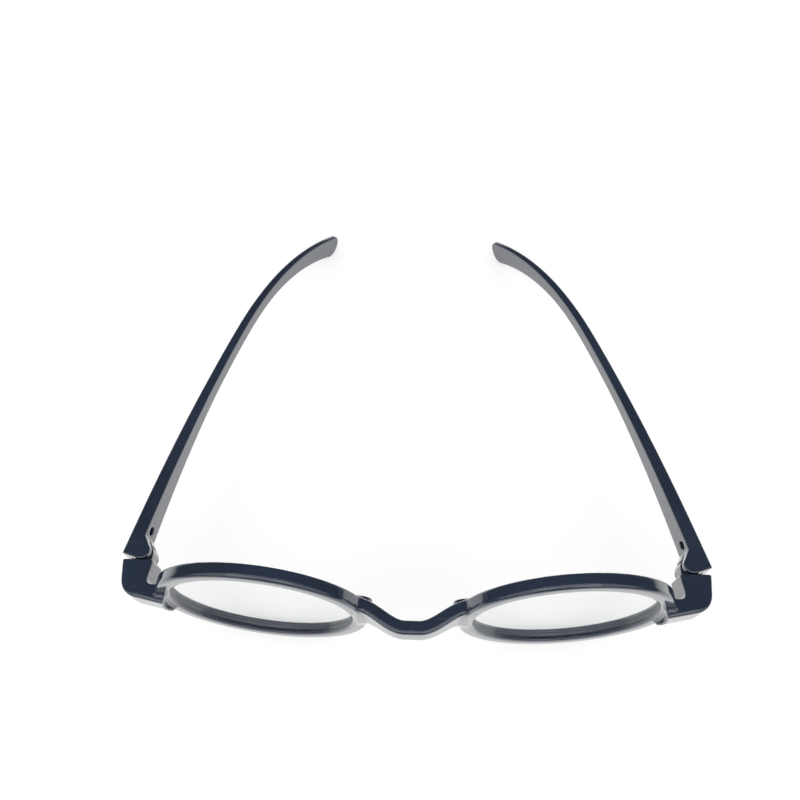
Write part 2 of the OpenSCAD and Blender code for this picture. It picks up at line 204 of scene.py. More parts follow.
for name, at in LAMPS.items():
    data = bpy.data.lights.new(name, "AREA")
    data.size = LAMP_SIZE
    data.energy = LAMP_POWER
    lamp = in_scene(name, data)
    lamp.location = at
    lamp.rotation_euler = (AIM - Vector(at)).to_track_quat("-Z", "Y").to_euler()
bpy.context.scene.view_settings.view_transform = "Standard"
print(len(LAMPS), "lamps of", LAMP_POWER, "W")

# %% [markdown]
# A moulding has no sharp corners: every edge is rounded and every joint of two forms has a
# small fillet. That is easy to say with distances. A form is a function that tells how far a
# point lies outside it, less than zero inside. Two forms are joined by taking the smaller
# distance, cut by taking the larger, and rounded by blending near the edge. A skin of small
# quads is then drawn where the distance is zero. It costs more code than bevels on a boxy mesh,
# but the fillets run round the rims as cleanly as they do on the real moulding.

# %% Distances
CUT_EDGE = 0.12


def corner(a, b, ra, rb=None):
    """Larger of two distances, with the edge between them rounded over ra by rb."""
    rb = ra if rb is None else rb
    px, py = a + ra, b + rb
    near = (px > 0) & (py > 0)
    k0 = np.hypot(np.where(near, px / ra, 1), np.where(near, py / rb, 1))
    k1 = np.hypot(np.where(near, px / ra ** 2, 1), np.where(near, py / rb ** 2, 1))
    return np.where(near, k0 * (k0 - 1) / k1, np.maximum(a, b))


def joined(a, b, fillet):
    """Smaller of two distances, with a fillet where the two forms meet."""
    share = np.clip(fillet - np.abs(a - b), 0, None) / fillet
    return np.minimum(a, b) - share * share * fillet / 4


def cut(a, b, edge=CUT_EDGE):
    """The first form without the second, its new edge slightly rounded."""
    return corner(a, -b, edge)


def half_plane(x, y, at, turn):
    """Distance past a line through a point, seen from above, its normal turned from +X."""
    return (x - at[0]) * math.cos(turn) + (y - at[1]) * math.sin(turn)


def smooth(t):
    """A share from 0 to 1 that starts and ends gently."""
    t = np.clip(t, 0, 1)
    return t * t * (3 - 2 * t)


# %% [markdown]
# The skin: a grid of cubes is laid over the form, each cube that the surface crosses gets one
# point in the middle of its crossings, and each grid edge that is crossed gets one quad.

# %% Points and quads


def mean_crossing(d, where):
    """The middle of the crossings on each cube's edges, from 0 to 1 along the cube's sides."""
    total = np.zeros((len(where), 3))
    times = np.zeros((len(where), 1))
    for a in np.ndindex(2, 2, 2):
        for axis in range(3):
            if a[axis]:
                continue
            b = list(a)
            b[axis] = 1
            da = d[tuple((where + a).T)]
            db = d[tuple((where + b).T)]
            hit = (da < 0) != (db < 0)
            t = np.where(hit, da / np.where(hit, da - db, 1), 0)
            point = np.repeat(np.array([a], float), len(where), 0)
            point[:, axis] += t
            total += np.where(hit[:, None], point, 0)
            times += hit[:, None]
    return total / times


def quads_across(inside, number):
    """One quad round each crossed grid edge, through the points of the four cubes there."""
    quads = []
    for axis in range(3):
        u, v = [n for n in range(3) if n != axis]
        here = [slice(1, -1)] * 3
        here[axis] = slice(0, -1)
        there = list(here)
        there[axis] = slice(1, None)
        first, second = inside[tuple(here)], inside[tuple(there)]
        for flip, mask in ((axis == 1, first & ~second), (axis != 1, second & ~first)):
            at = np.argwhere(mask)
            at[:, u] += 1
            at[:, v] += 1
            around = []
            for du, dv in ((0, 0), (1, 0), (1, 1), (0, 1)):
                cell = at.copy()
                cell[:, u] -= du
                cell[:, v] -= dv
                around.append(number[tuple(cell.T)])
            face = np.stack(around, 1)
            quads.append(face[:, ::-1] if flip else face)
    return np.concatenate(quads)


# %% [markdown]
# The points are then pulled onto the form along its slope, which takes the grid's steps away.
# A point never leaves its own cube, because two that pass each other would fold the skin.

# %% Skin
PULLS = 3
REACHES_PER_STEP = 8
MARGINS_PER_STEP = 200
GENTLEST = 0.05


def slope(form, p, reach):
    """The gradient of a form at points."""
    found = np.zeros_like(p)
    for axis in range(3):
        shift = np.zeros(3)
        shift[axis] = reach
        ahead, behind = p + shift, p - shift
        found[:, axis] = (form(*ahead.T) - form(*behind.T)) / (2 * reach)
    return found


def pulled(form, points, cell, step):
    """Points moved onto the form's surface, each kept just inside its own cell."""
    margin = step / MARGINS_PER_STEP
    for _ in range(PULLS):
        g = slope(form, points, step / REACHES_PER_STEP)
        size = np.maximum((g * g).sum(1, keepdims=True), GENTLEST)
        points = points - g * form(*points.T)[:, None] / size
        points = np.clip(points, cell + margin, cell + step - margin)
    return points


def skin_of(form, low, high, step):
    """Points and quads of the surface where form(x, y, z) is zero, in a box."""
    axes = [np.arange(a, b + step, step) for a, b in zip(low, high)]
    x, y, z = np.meshgrid(*axes, indexing="ij", sparse=True)
    full = tuple(len(a) for a in axes)
    d = np.broadcast_to(form(x, y, z), full).astype(np.float32)
    inside = d < 0
    cells = tuple(n - 1 for n in full)
    count = np.zeros(cells, np.uint8)
    for i, j, k in np.ndindex(2, 2, 2):
        count += inside[i:i + cells[0], j:j + cells[1], k:k + cells[2]]
    crossed = (count > 0) & (count < 8)
    where = np.argwhere(crossed)
    number = np.full(cells, -1, np.int64)
    number[crossed] = np.arange(len(where))
    points = (where + mean_crossing(d, where)) * step + np.array(low)
    cell = where * step + np.array(low)
    return pulled(form, points, cell, step), quads_across(inside, number)


# %% [markdown]
# The front leans back a little on the table, so its forms are described in its own upright
# frame, in millimetres, with the middle between the ring centres at zero. One small function
# stands them up. The object is the same on both sides, so forms are only described for the
# right side, and the left is its mirror image.

# %% Standing
LEAN = math.radians(5.5)
MID_SHIFT = -54.1915
RING_Z = 23.4028


def stood(points):
    """Points of the front's own frame, in mm, put in their place on the table, in metres."""
    x, y, z = points.T
    return np.stack([
        x,
        MID_SHIFT + y * math.cos(LEAN) + z * math.sin(LEAN),
        RING_Z + z * math.cos(LEAN) - y * math.sin(LEAN)], 1) * MM


def piece(name, points, faces, body, packed):
    """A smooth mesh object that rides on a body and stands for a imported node."""
    mesh = bpy.data.meshes.new(name)
    mesh.from_pydata(points.tolist(), [], faces)
    mesh.validate()
    mesh.shade_smooth()
    made = in_scene(name, mesh)
    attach(made, body)
    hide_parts(packed)
    size = [round(v, 1) for v in (points.max(0) - points.min(0)) / MM]
    lowest = round(points[:, 2].min() / MM, 3)
    print(name, len(points), "points,", size, "mm, lowest", lowest)
    return made


# %% [markdown]
# The rims are rings with a rounded section, softer inside their front. Each is turned outwards
# a few degrees, so the front wraps round the face. The lens groove inside is a wedge.
# A rounding of two numbers is longer one way than the other.

# %% Rims
RING_X = 33.15
OPENING_R = 20
RIM_W = 3.39
RIM_T = 3
WRAP = math.radians(4.2)
OUT_FRONT = 0.8
IN_FRONT = (1.2, 0.5)
OUT_BACK = 0.35
IN_BACK = (0.6, 0.9)
GROOVE = 0.7
LENS_T = 1.5
LENS_FIT = 0.05
print("a ring is", round(2 * (OPENING_R + RIM_W), 2), "mm across")


def ring_place(x, y, z):
    """Distance from the right ring's axis, and place along it towards the front."""
    dx = x - RING_X
    across = dx * math.cos(WRAP) + y * math.sin(WRAP)
    return np.hypot(across, z), dx * math.sin(WRAP) - y * math.cos(WRAP)


def rim_form(x, y, z):
    """The right rim, without its groove."""
    r, ahead = ring_place(x, y, z)
    outer_half = r > OPENING_R + RIM_W / 2
    out, into = r - OPENING_R - RIM_W, OPENING_R - r
    front, back = ahead - RIM_T / 2, -ahead - RIM_T / 2
    return np.where(
        ahead > 0,
        np.where(outer_half, corner(out, front, OUT_FRONT), corner(into, front, *IN_FRONT)),
        np.where(outer_half, corner(out, back, OUT_BACK), corner(into, back, *IN_BACK)))


def lens_space(x, y, z):
    """The opening and the groove, which is narrower further out."""
    r, ahead = ring_place(x, y, z)
    half = LENS_T / 2 + LENS_FIT - (r - OPENING_R) / GROOVE * LENS_T / 3
    groove = np.maximum(r - OPENING_R - GROOVE, np.abs(ahead) - half)
    return np.minimum(r - OPENING_R, groove)


# %% [markdown]
# The bridge is a bar that bows forward between the rims, taller where it meets them, with a
# front face that curves back to its lower edge. Two round bosses stand behind its ends.

# %% Bridge
ROOT_IN = 2
ROOT_X = RING_X - OPENING_R - RIM_W + ROOT_IN
PAST_ROOT = 1.1
BOW = 5.78
BRIDGE_FLAT = 1.5
BRIDGE_T = 3
BRIDGE_TOP = 6.9
BRIDGE_H = 7.2
BRIDGE_ROOT_H = 12
BRIDGE_RISE = 1.6
BRIDGE_ROUND = 0.7
BRIDGE_CHIN = (1.1, 3)
BRIDGE_HEEL = 1.2
NUDGE = 0.1
print("the bridge runs to", round(ROOT_X, 2), "mm from the middle and bows", BOW, "mm")


def bridge_back(x):
    """How far back the middle line of the bridge is at a place from side to side."""
    run = smooth((np.abs(x) - BRIDGE_FLAT) / (ROOT_X - BRIDGE_FLAT))
    return -BOW + (BOW - (RING_X - ROOT_X) * math.sin(WRAP)) * run


def bridge_form(x, y, z):
    """The bridge, measured square to its bowed middle line."""
    turn = (bridge_back(x + NUDGE) - bridge_back(x - NUDGE)) / (2 * NUDGE)
    across = (bridge_back(x) - y) / np.sqrt(1 + turn * turn)
    u = np.minimum(np.abs(x) / ROOT_X, PAST_ROOT)
    high = BRIDGE_H + (BRIDGE_ROOT_H - BRIDGE_H) * u ** 3
    up = z - (BRIDGE_TOP + BRIDGE_RISE * u ** 3 - high / 2)
    front, back = across - BRIDGE_T / 2, -across - BRIDGE_T / 2
    top, low = up - high / 2, -up - high / 2
    upper = np.where(
        across > 0, corner(front, top, BRIDGE_ROUND), corner(back, top, BRIDGE_ROUND))
    lower = np.where(
        across > 0, corner(front, low, *BRIDGE_CHIN), corner(back, low, BRIDGE_HEEL))
    return np.maximum(np.where(up > 0, upper, lower), np.abs(x) - ROOT_X)


# %% [markdown]
# Each boss is a short round stud that stands square to the back of the rim.

# %% Bosses
BOSS_X = 11.4
BOSS_Z = 3.4
BOSS_R = 2.5
BOSS_HALF_L = 1.25
BOSS_ROUND = 0.25


def boss_form(x, y, z):
    """The stud behind the bridge's right end."""
    beside = y + (RING_X - BOSS_X) * math.tan(WRAP)
    r = np.hypot((x - BOSS_X) * math.cos(WRAP) + beside * math.sin(WRAP), z - BOSS_Z)
    behind = -ring_place(x, y, z)[1]
    return corner(r - BOSS_R, np.abs(behind - BOSS_HALF_L) - BOSS_HALF_L, BOSS_ROUND)


# %% [markdown]
# An endpiece turns the corner from the front to the side. Seen from above it lies between an
# outer line with a round corner and an inner one with a tight throat. It is tall beside the
# rim and lower where it meets the temple, and its bar ends in a hollow that follows the
# opening.

# %% Endpieces
BUTT_X = 65
BUTT_Y = 8
BUTT_Z = 0.9
BUTT_H = 7.4
BUTT_T = 5.5
BUTT_IN = 6.9
END_Z = 0.2
END_H = 9.8
SWEEP = math.radians(12)
FLARE = math.radians(8)
SIDE_L = 4.4
TURN_R = 5
THROAT_IN = 6.5
THROAT_DEEP = 0.9
THROAT_R = 1.2
BAR_OUT = 1.2

bend_end = np.array([BUTT_X - SIDE_L * math.sin(FLARE), BUTT_Y - SIDE_L * math.cos(FLARE)])
bend_mid = bend_end + TURN_R * np.array([-math.cos(FLARE), math.sin(FLARE)])
throat_x = BUTT_X - THROAT_IN
throat_y = RIM_T / 2 - THROAT_DEEP + (throat_x - RING_X) * math.tan(WRAP)
inner_turn = math.atan2(BUTT_Y - throat_y, BUTT_X - BUTT_IN - throat_x) + math.pi / 2
print("middle of the endpiece's bend, mm:", bend_mid.round(2))


def end_outer(x, y):
    """Distance past the endpiece's outer line: the front, the bend and the side."""
    to_front = half_plane(x, y, bend_mid, SWEEP - math.pi / 2) - TURN_R
    to_side = half_plane(x, y, bend_mid, -FLARE) - TURN_R
    px, py = x - bend_mid[0], y - bend_mid[1]
    along_front = px * math.cos(SWEEP) + py * math.sin(SWEEP)
    along_side = -px * math.sin(FLARE) - py * math.cos(FLARE)
    in_bend = (along_front > 0) & (along_side > 0)
    return np.where(in_bend, np.hypot(px, py) - TURN_R, np.maximum(to_front, to_side))


def end_inner(x, y):
    """Distance past the endpiece's inner line, which turns in the throat."""
    back = half_plane(x, y, (throat_x, throat_y), WRAP + math.pi / 2)
    side = half_plane(x, y, (throat_x, throat_y), inner_turn)
    return -corner(-back, -side, THROAT_R)


# %% [markdown]
# The endpiece gets lower as it turns. How far it has turned is an angle about a point near the
# middle of its bend, and the lower front edge is rounded most beside the rim.

# %% Endpiece heights and edges
FALL_OFF = 2.2
FALL_FROM = -1.145
FALL_OVER = 0.763
LOW_ROUND = 0.7
LOW_MORE_IN = 0.8
LOW_MORE_UP = 4.8
TOP_ROUND = 0.6
INNER_ROUND = 0.5
BUTT_ROUND = 0.35
HOLLOW_ROUND = 0.2


def end_form(x, y, z):
    """The right endpiece, from the rim to the temple."""
    outer, inner = end_outer(x, y), end_inner(x, y)
    turned = np.arctan2(y - bend_mid[1] - FALL_OFF, x - bend_mid[0] + FALL_OFF)
    share = smooth((turned - FALL_FROM) / FALL_OVER)
    high = END_H + (BUTT_H - END_H) * share
    up = z - (END_Z + (BUTT_Z - END_Z) * share)
    top, low = up - high / 2, -up - high / 2
    low_in = LOW_ROUND + LOW_MORE_IN * (1 - share)
    low_up = LOW_ROUND + LOW_MORE_UP * (1 - share)
    outside = np.where(
        up > 0, corner(outer, top, TOP_ROUND), corner(outer, low, low_in, low_up))
    inside = np.where(
        up > 0, corner(inner, top, INNER_ROUND), corner(inner, low, INNER_ROUND))
    body = corner(np.maximum(outside, inside), y - BUTT_Y, BUTT_ROUND)
    return corner(body, OPENING_R + BAR_OUT - ring_place(x, y, z)[0], HOLLOW_ROUND)


# %% [markdown]
# The tongue of the hinge stands out behind each endpiece, with a bore for the screw. Where
# the endpiece leaves the rim there is a shallow round mark of the mould's ejector.

# %% Tongues and marks
AXIS_IN = 3.9
AXIS_BACK = 2.05
AXIS_X = BUTT_X - AXIS_IN
AXIS_Y = BUTT_Y + AXIS_BACK
TONGUE_D = 4
TONGUE_H = 3.3
TONGUE_ROOT = 1
TONGUE_ROUND = 0.15
SCREW_D = 1.5
FORK_GAP = 0.15
MARK_R = 2.3
MARK_IN = 0.2
MARK_UP = 0.5
MARK_DEEP = 0.15
MARK_REACH = 0.4
print("hinge axis, mm:", round(AXIS_X, 2), round(AXIS_Y, 2))


def tongue_form(x, y, z):
    """The right tongue: a round end about the screw and a block back to the endpiece."""
    r = np.hypot(x - AXIS_X, y - AXIS_Y)
    flat = np.abs(z - BUTT_Z) - TONGUE_H / 2
    long = np.maximum(y - AXIS_Y, BUTT_Y - TONGUE_ROOT - y)
    block = np.maximum(np.abs(x - AXIS_X) - TONGUE_D / 2, long)
    return corner(np.minimum(r - TONGUE_D / 2, block), flat, TONGUE_ROUND)


def mark_form(x, y, z):
    """The space that the round mark takes out of the rim's back."""
    across = (x - RING_X) * math.cos(WRAP) + y * math.sin(WRAP)
    r = np.hypot(across - OPENING_R - RIM_W + MARK_IN, z - END_Z - MARK_UP)
    depth = RIM_T / 2 - MARK_DEEP + ring_place(x, y, z)[1]
    return np.maximum(r - MARK_R, np.maximum(depth, -depth - MARK_REACH))


# %% [markdown]
# Now the front is put together as the mould would fill it: the bridge with its bosses and the
# endpieces with their tongues are bars that run into the rims with a fillet, kept out of the
# openings. The groove, the marks and the bores are cut last.

# %% Front
INNER_END = 24
OUTER_START = 42
FAR_AWAY = 9.0
BOSS_FILLET = 0.3
TONGUE_FILLET = 0.4
RIM_FILLET = 0.9
BAR_CLEAR = 0.4
BORE_FIT = 0.06
FINE_EDGE = 0.05
STEP = 0.3
FRONT_LOW = (-66.45, -8.4, -24.3)
FRONT_HIGH = (66.45, 13.2, 24.3)


def front_form(x, y, z):
    """The whole front, the same on both sides."""
    x = np.abs(x)
    inner = joined(bridge_form(x, y, z), boss_form(x, y, z), BOSS_FILLET)
    inner = np.where(x < INNER_END, inner, FAR_AWAY)
    outer = joined(end_form(x, y, z), tongue_form(x, y, z), TONGUE_FILLET)
    outer = np.where(x > OUTER_START, outer, FAR_AWAY)
    clear_of_opening = OPENING_R + BAR_CLEAR - ring_place(x, y, z)[0]
    bars = np.maximum(np.minimum(inner, outer), clear_of_opening)
    body = joined(bars, rim_form(x, y, z), RIM_FILLET)
    body = cut(body, lens_space(x, y, z))
    body = cut(body, mark_form(x, y, z), FINE_EDGE)
    bore = np.hypot(x - AXIS_X, y - AXIS_Y) - SCREW_D / 2 - BORE_FIT
    return cut(body, bore, FINE_EDGE)


points, quads = skin_of(front_form, FRONT_LOW, FRONT_HIGH, STEP)
front = piece(
    "front", stood(points), quads.tolist(), "front", "front_frame")

# %% [markdown]
# A temple is one long bar. Its outer line is walked in small steps with a heading that turns
# inwards and a dip that grows behind the ear. A point's place along the line, beside it and
# above it then gives its distance. The thickness is taken off the inner side, so the outer
# side runs straight on from the endpiece. Headings and dips are in degrees.

# %% Temple line
TEMPLE_L = 117
EAR_AT = 78
DROP_AT = 67
SET_OUT = 5
TURN_IN = 10
TURN_POWER = 1.3
TIP_TURN = 11.6
TILT = -1.45937
TIP_DIP = 35
BUTT_GAP = 0.15
WALK = 0.25
WALK_FROM = -6
WALK_PAST = 3


def heading(l):
    """How far the line turns outwards from straight back, in radians."""
    reach = np.minimum(np.maximum(l, 0), EAR_AT) / EAR_AT
    tip_turn = TIP_TURN * np.maximum(0, l - EAR_AT) / (TEMPLE_L - EAR_AT)
    return np.radians(SET_OUT - TURN_IN * reach ** TURN_POWER - tip_turn)


def dip(l):
    """How far the line points down, in radians."""
    return np.radians(TILT + TIP_DIP * np.maximum(0, l - DROP_AT) / (TEMPLE_L - DROP_AT))


walked = np.arange(WALK_FROM, TEMPLE_L + WALK_PAST, WALK)
middle = walked + WALK / 2
steps = WALK * np.stack([
    np.cos(dip(middle)) * np.sin(heading(middle)),
    np.cos(dip(middle)) * np.cos(heading(middle)),
    -np.sin(dip(middle))], 1)
line = np.concatenate([[np.zeros(3)], np.cumsum(steps, 0)[:-1]])
line = line - line[np.argmin(np.abs(walked))] + np.array([BUTT_X, BUTT_Y + BUTT_GAP, BUTT_Z])
print("temple tip, mm:", line[np.argmin(np.abs(walked - TEMPLE_L))].round(2))

# %% [markdown]
# To find a point's place along the line, a first guess is taken from how far back it is. Each
# further try then moves the guess by as much as the point lies ahead of it.

# %% Places along the temple
TRIES = 3


def beside_line(x, y, z, l):
    """Steps from the line's place at l to a point, and the line's heading and dip there."""
    dx, dy, dz = (p - np.interp(l, walked, line[:, n]) for n, p in enumerate((x, y, z)))
    return dx, dy, dz, heading(l), dip(l)


def along_line(x, y, z):
    """Place along the temple's outer line, outwards from it, and up from it."""
    l = np.interp(y, line[:, 1], walked)
    for _ in range(TRIES):
        dx, dy, dz, h, d = beside_line(x, y, z, l)
        l = l + (dx * np.cos(d) * np.sin(h) + dy * np.cos(d) * np.cos(h) - dz * np.sin(d))
    dx, dy, dz, h, d = beside_line(x, y, z, l)
    out = dx * np.cos(h) - dy * np.sin(h)
    up = dx * np.sin(d) * np.sin(h) + dy * np.sin(d) * np.cos(h) + dz * np.cos(d)
    return l, out, up


# %% [markdown]
# The bar is 5.5 mm thick in the hinge's block and thins to 1.5 mm at the tip. Its height falls
# behind the block and swells again to a paddle, whose end is rounded more below than above.

# %% Temple form
BLOCK_L = 2.7
BLOCK_END = 5.3
BEHIND_BLOCK_T = 3.3
MIDDLE_AT = 45
MIDDLE_T = 2.4
TIP_T = 1.5
ARM_H = 3.9
FALL_L = 55
FALL_POWER = 1.6
PADDLE_H = 7
SWELL_POWER = 1.5
ARM_ROUND = 0.45
TIP_L = 116.6
TIP_ROUND_TOP = 2.6
TIP_ROUND_LOW = 3.4


def thickness(l):
    """Thickness of the bar at a place along it."""
    return np.interp(
        l, [BLOCK_L, BLOCK_END, MIDDLE_AT, TEMPLE_L], [BUTT_T, BEHIND_BLOCK_T, MIDDLE_T, TIP_T])


def tallness(l):
    """Height of the bar at a place along it."""
    fall = (BUTT_H - ARM_H) * np.maximum(0, 1 - np.maximum(0, l) / FALL_L) ** FALL_POWER
    past_ear = np.maximum(0, (np.minimum(l, TEMPLE_L) - EAR_AT) / (TEMPLE_L - EAR_AT))
    return ARM_H + fall + (PADDLE_H - ARM_H) * past_ear ** SWELL_POWER


def arm_form(x, y, z):
    """The right temple as a plain bar with rounded edges and tip."""
    l, out, up = along_line(x, y, z)
    half = tallness(l) / 2
    end = l - TIP_L
    outline = np.where(
        up > 0, corner(end, up - half, TIP_ROUND_TOP), corner(end, -up - half, TIP_ROUND_LOW))
    return np.maximum(
        corner(out, outline, ARM_ROUND), corner(-out - thickness(l), outline, ARM_ROUND))


heights = [round(float(tallness(l)), 2) for l in (0, EAR_AT, TIP_L)]
print("temple height at the hinge, the ear and the tip, mm:", heights)

# %% [markdown]
# The front end of the temple is a fork. Its two leaves lie above and below the tongue, and
# their round ends turn about the screw. The screw's head is sunk in the lower leaf, and the
# upper leaf is blind, so from above the hinge is closed.

# %% Fork
LEAF_SET = 0.1
LEAF = BUTT_H / 2 - LEAF_SET
LEAF_ROUND = 0.1
LEAF_FILLET = 0.15
FORK_D = 3.6
TONGUE_ROOM = 0.3
BLOCK_ROUND = 0.2
SLOT_EDGE = 0.08
HEAD_D = 2.6
HEAD_T = 0.7
HEAD_SINK = 0.1
SCREW_FIT = 0.02
BLIND_T = 0.7
print("each leaf is", round(LEAF - TONGUE_H / 2 - FORK_GAP, 2), "mm thick")


def forked(body, x, y, z):
    """A temple's bar with its front end made into the fork."""
    px, py = x - AXIS_X, y - AXIS_Y
    r = np.hypot(px, py)
    body = corner(body, BUTT_Y + BUTT_GAP - y, BLOCK_ROUND)
    body = cut(body, np.maximum(px, py), BLOCK_ROUND)
    leaves = corner(r - FORK_D / 2, np.abs(z - BUTT_Z) - LEAF, LEAF_ROUND)
    body = joined(body, leaves, LEAF_FILLET)
    level = np.abs(z - BUTT_Z) - TONGUE_H / 2 - FORK_GAP
    room = TONGUE_D / 2 + TONGUE_ROOM
    beside = np.minimum(np.maximum(px - room, py), np.maximum(px, py - room))
    body = cut(body, np.maximum(np.minimum(r - room, beside), level), SLOT_EDGE)
    seat = BUTT_Z - LEAF + HEAD_SINK + HEAD_T
    shank = np.maximum(r - SCREW_D / 2 - SCREW_FIT, z - (BUTT_Z + LEAF - BLIND_T))
    head = np.maximum(r - HEAD_D / 2 - SCREW_FIT, z - seat)
    return cut(body, np.minimum(shank, head), FINE_EDGE)


# %% [markdown]
# The block's top has a shallow round step that follows the knuckle. Behind the block there is a
# small round hole in the inner face, and before it a smaller one on the slope, where the
# photograph shows a dark mark.

# %% Temple with its step and holes
CAP_X = 62.3
CAP_Y = 9.6
CAP_R = 2.3
CAP_DEEP = 0.13
DIMPLE_AT = 7
DIMPLE_UP = 0.6
DIMPLE_R = 1
DIMPLE_DEEP = 1.1
NOTCH_AT = 4.5
NOTCH_UP = 0.3
NOTCH_R = 0.5
NOTCH_DEEP = 0.5
HOLE_EDGE = 0.15
FINE_STEP = 0.24
TEMPLE_LOW = (51, 6.6, -14.1)
TEMPLE_HIGH = (69, 127.5, 6.9)


def temple_form(x, y, z):
    """The whole right temple, open."""
    body = forked(arm_form(x, y, z), x, y, z)
    step_low = BUTT_Z + BUTT_H / 2 - CAP_DEEP
    cap = np.maximum(np.hypot(x - CAP_X, y - CAP_Y) - CAP_R, step_low - z)
    body = cut(body, cap, SLOT_EDGE)
    l, out, up = along_line(x, y, z)
    hole = np.maximum(
        np.hypot(l - DIMPLE_AT, up - DIMPLE_UP) - DIMPLE_R, out + BEHIND_BLOCK_T - DIMPLE_DEEP)
    notch = np.maximum(
        np.hypot(l - NOTCH_AT, up - NOTCH_UP) - NOTCH_R, out + thickness(NOTCH_AT) - NOTCH_DEEP)
    return cut(body, np.minimum(hole, notch), HOLE_EDGE)


points, quads = skin_of(temple_form, TEMPLE_LOW, TEMPLE_HIGH, FINE_STEP)
print("temple points", len(points))

# %% [markdown]
# Both temples are partly folded, one a little more than the other. The open temple is turned
# about its screw. The left one is its mirror image, with its faces turned round to match.

# %% Temples
MIRROR = np.array([-1, 1, 1])
FOLD_LEFT = 16.5
FOLD_RIGHT = 19


def folded(points, angle):
    """Points of the open temple turned in about the screw, in degrees."""
    a = math.radians(angle)
    x, y, z = points.T
    px, py = x - AXIS_X, y - AXIS_Y
    return np.stack([
        AXIS_X + px * math.cos(a) - py * math.sin(a),
        AXIS_Y + px * math.sin(a) + py * math.cos(a), z], 1)


temple_left = piece(
    "temple_arm_left", stood(folded(points, FOLD_LEFT) * MIRROR), quads[:, ::-1].tolist(),
    "left_arm", "temple_left")
temple_right = piece(
    "temple_arm_right", stood(folded(points, FOLD_RIGHT)), quads.tolist(),
    "right_arm", "temple_right")

# %% [markdown]
# A lens is a body of revolution: two faces of the same curve and a bevelled edge that sits in
# the rim's groove. It is turned from a few profile points, and one small round face closes its
# middle on each side. Its edge stays sharp in the shading.

# %% Lenses
LENS_CURVE = 116
LENS_MIDDLE_R = 0.02
LENS_RINGS = 24
ROUND = 128
SHARP = math.radians(25)

edge = OPENING_R - LENS_FIT
tooth = edge + GROOVE - LENS_FIT
sink = math.sqrt(LENS_CURVE ** 2 - edge ** 2)
radii = np.linspace(LENS_MIDDLE_R, edge, LENS_RINGS)


def curved_face(radii, shift):
    """Profile points of one face: how far out, and how far ahead."""
    return [(r, math.sqrt(LENS_CURVE ** 2 - r * r) - sink + shift) for r in radii]


profile = np.array(
    curved_face(radii, LENS_T / 2) + [(tooth, LENS_T / 6), (tooth, -LENS_T / 6)]
    + curved_face(radii[::-1], -LENS_T / 2))


def lens(name, side, packed):
    """The profile turned about a ring's axis, on the right for 1 or on the left for -1."""
    turns = np.arange(ROUND) * 2 * math.pi / ROUND
    r, ahead = profile[:, :1], profile[:, 1:]
    across, up = r * np.cos(turns), r * np.sin(turns)
    x = RING_X + across * math.cos(WRAP) + ahead * math.sin(WRAP)
    y = across * math.sin(WRAP) - ahead * math.cos(WRAP)
    points = np.stack([x * side, y, up], -1).reshape(-1, 3)
    grid = np.arange(len(points)).reshape(len(profile), ROUND)
    after = np.roll(grid, -1, 1)
    faces = np.stack([grid[:-1], grid[1:], after[1:], after[:-1]], -1).reshape(-1, 4).tolist()
    faces += [grid[0].tolist(), grid[-1][::-1].tolist()]
    made = piece(
        name, stood(points), [face[::side] for face in faces], "front", packed)
    made.data.set_sharp_from_angle(angle=SHARP)
    return made


pane_left = lens("lens_pane_left", -1, "lens_left")
pane_right = lens("lens_pane_right", 1, "lens_right")

# %% [markdown]
# Every moulded face has slight waves from cooling, the finest grain of the polish, hairline
# scratches from wiping and a few specks of dust. One node group holds them, so that all
# plastic pieces share them. It hands out a height for the bump, a mask of what dulls the
# gloss, and a slow change of shade. A scale is how many features fit in a metre, and a pair
# of limits says where a mask starts and where it is full.

# %% Moulded surface
WAVE_SCALE = 110.0
GRAIN_SCALE = 2400.0
WEAR_SCALE = 45.0
SPECK_SCALE = 900.0
HAIRLINE_SCALE = (60.0, 2600.0, 2600.0)
HAIRLINE_TURNS = (((0.3, 0.2, 0.5), 0.0), ((0.1, 0.9, 2.1), 3.0))
HAIRLINE = (0.63, 0.72)
WORN = (0.42, 0.6)
SPECK = (0.16, 0.08)
DUSTY = (0.5, 0.62)
SHADE = (0.35, 0.65)
FINE_HEIGHT = 0.03

surface = bpy.data.node_groups.new("moulded_surface", "ShaderNodeTree")
for name in ("Height", "Dull", "Shade"):
    surface.interface.new_socket(name, in_out="OUTPUT", socket_type="NodeSocketFloat")
spot = node(surface, "TexCoord").outputs["Object"]
waves = node(surface, "TexNoise", Vector=spot, Scale=WAVE_SCALE, Detail=1.0).outputs[0]
grain = node(surface, "TexNoise", Vector=spot, Scale=GRAIN_SCALE, Detail=3.0).outputs[0]
hairlines = []
for turn, seed in HAIRLINE_TURNS:
    along = node(surface, "Mapping", Vector=spot, Rotation=turn, Scale=HAIRLINE_SCALE)
    streak = node(
        surface, "TexNoise", "4D", Vector=along.outputs[0], W=seed, Scale=1.0, Detail=2.0)
    hairlines.append(ramp(surface, streak.outputs[0], *HAIRLINE))
scratched = maths(surface, "MAXIMUM", *hairlines)
worn = node(surface, "TexNoise", Vector=spot, Scale=WEAR_SCALE, Detail=2.0).outputs[0]
scratched = maths(surface, "MULTIPLY", scratched, ramp(surface, worn, *WORN))
specks = node(surface, "TexVoronoi", Vector=spot, Scale=SPECK_SCALE).outputs["Distance"]
dust = maths(
    surface, "MULTIPLY", ramp(surface, specks, *SPECK), ramp(surface, grain, *DUSTY))
fine = maths(surface, "MULTIPLY_ADD", grain, FINE_HEIGHT, waves)
set_inputs(surface, surface.nodes.new("NodeGroupOutput"), {
    "Height": maths(surface, "MULTIPLY_ADD", scratched, -FINE_HEIGHT, fine),
    "Dull": maths(surface, "MAXIMUM", scratched, dust),
    "Shade": ramp(surface, worn, *SHADE)})
print("surface group of", len(surface.nodes), "nodes")

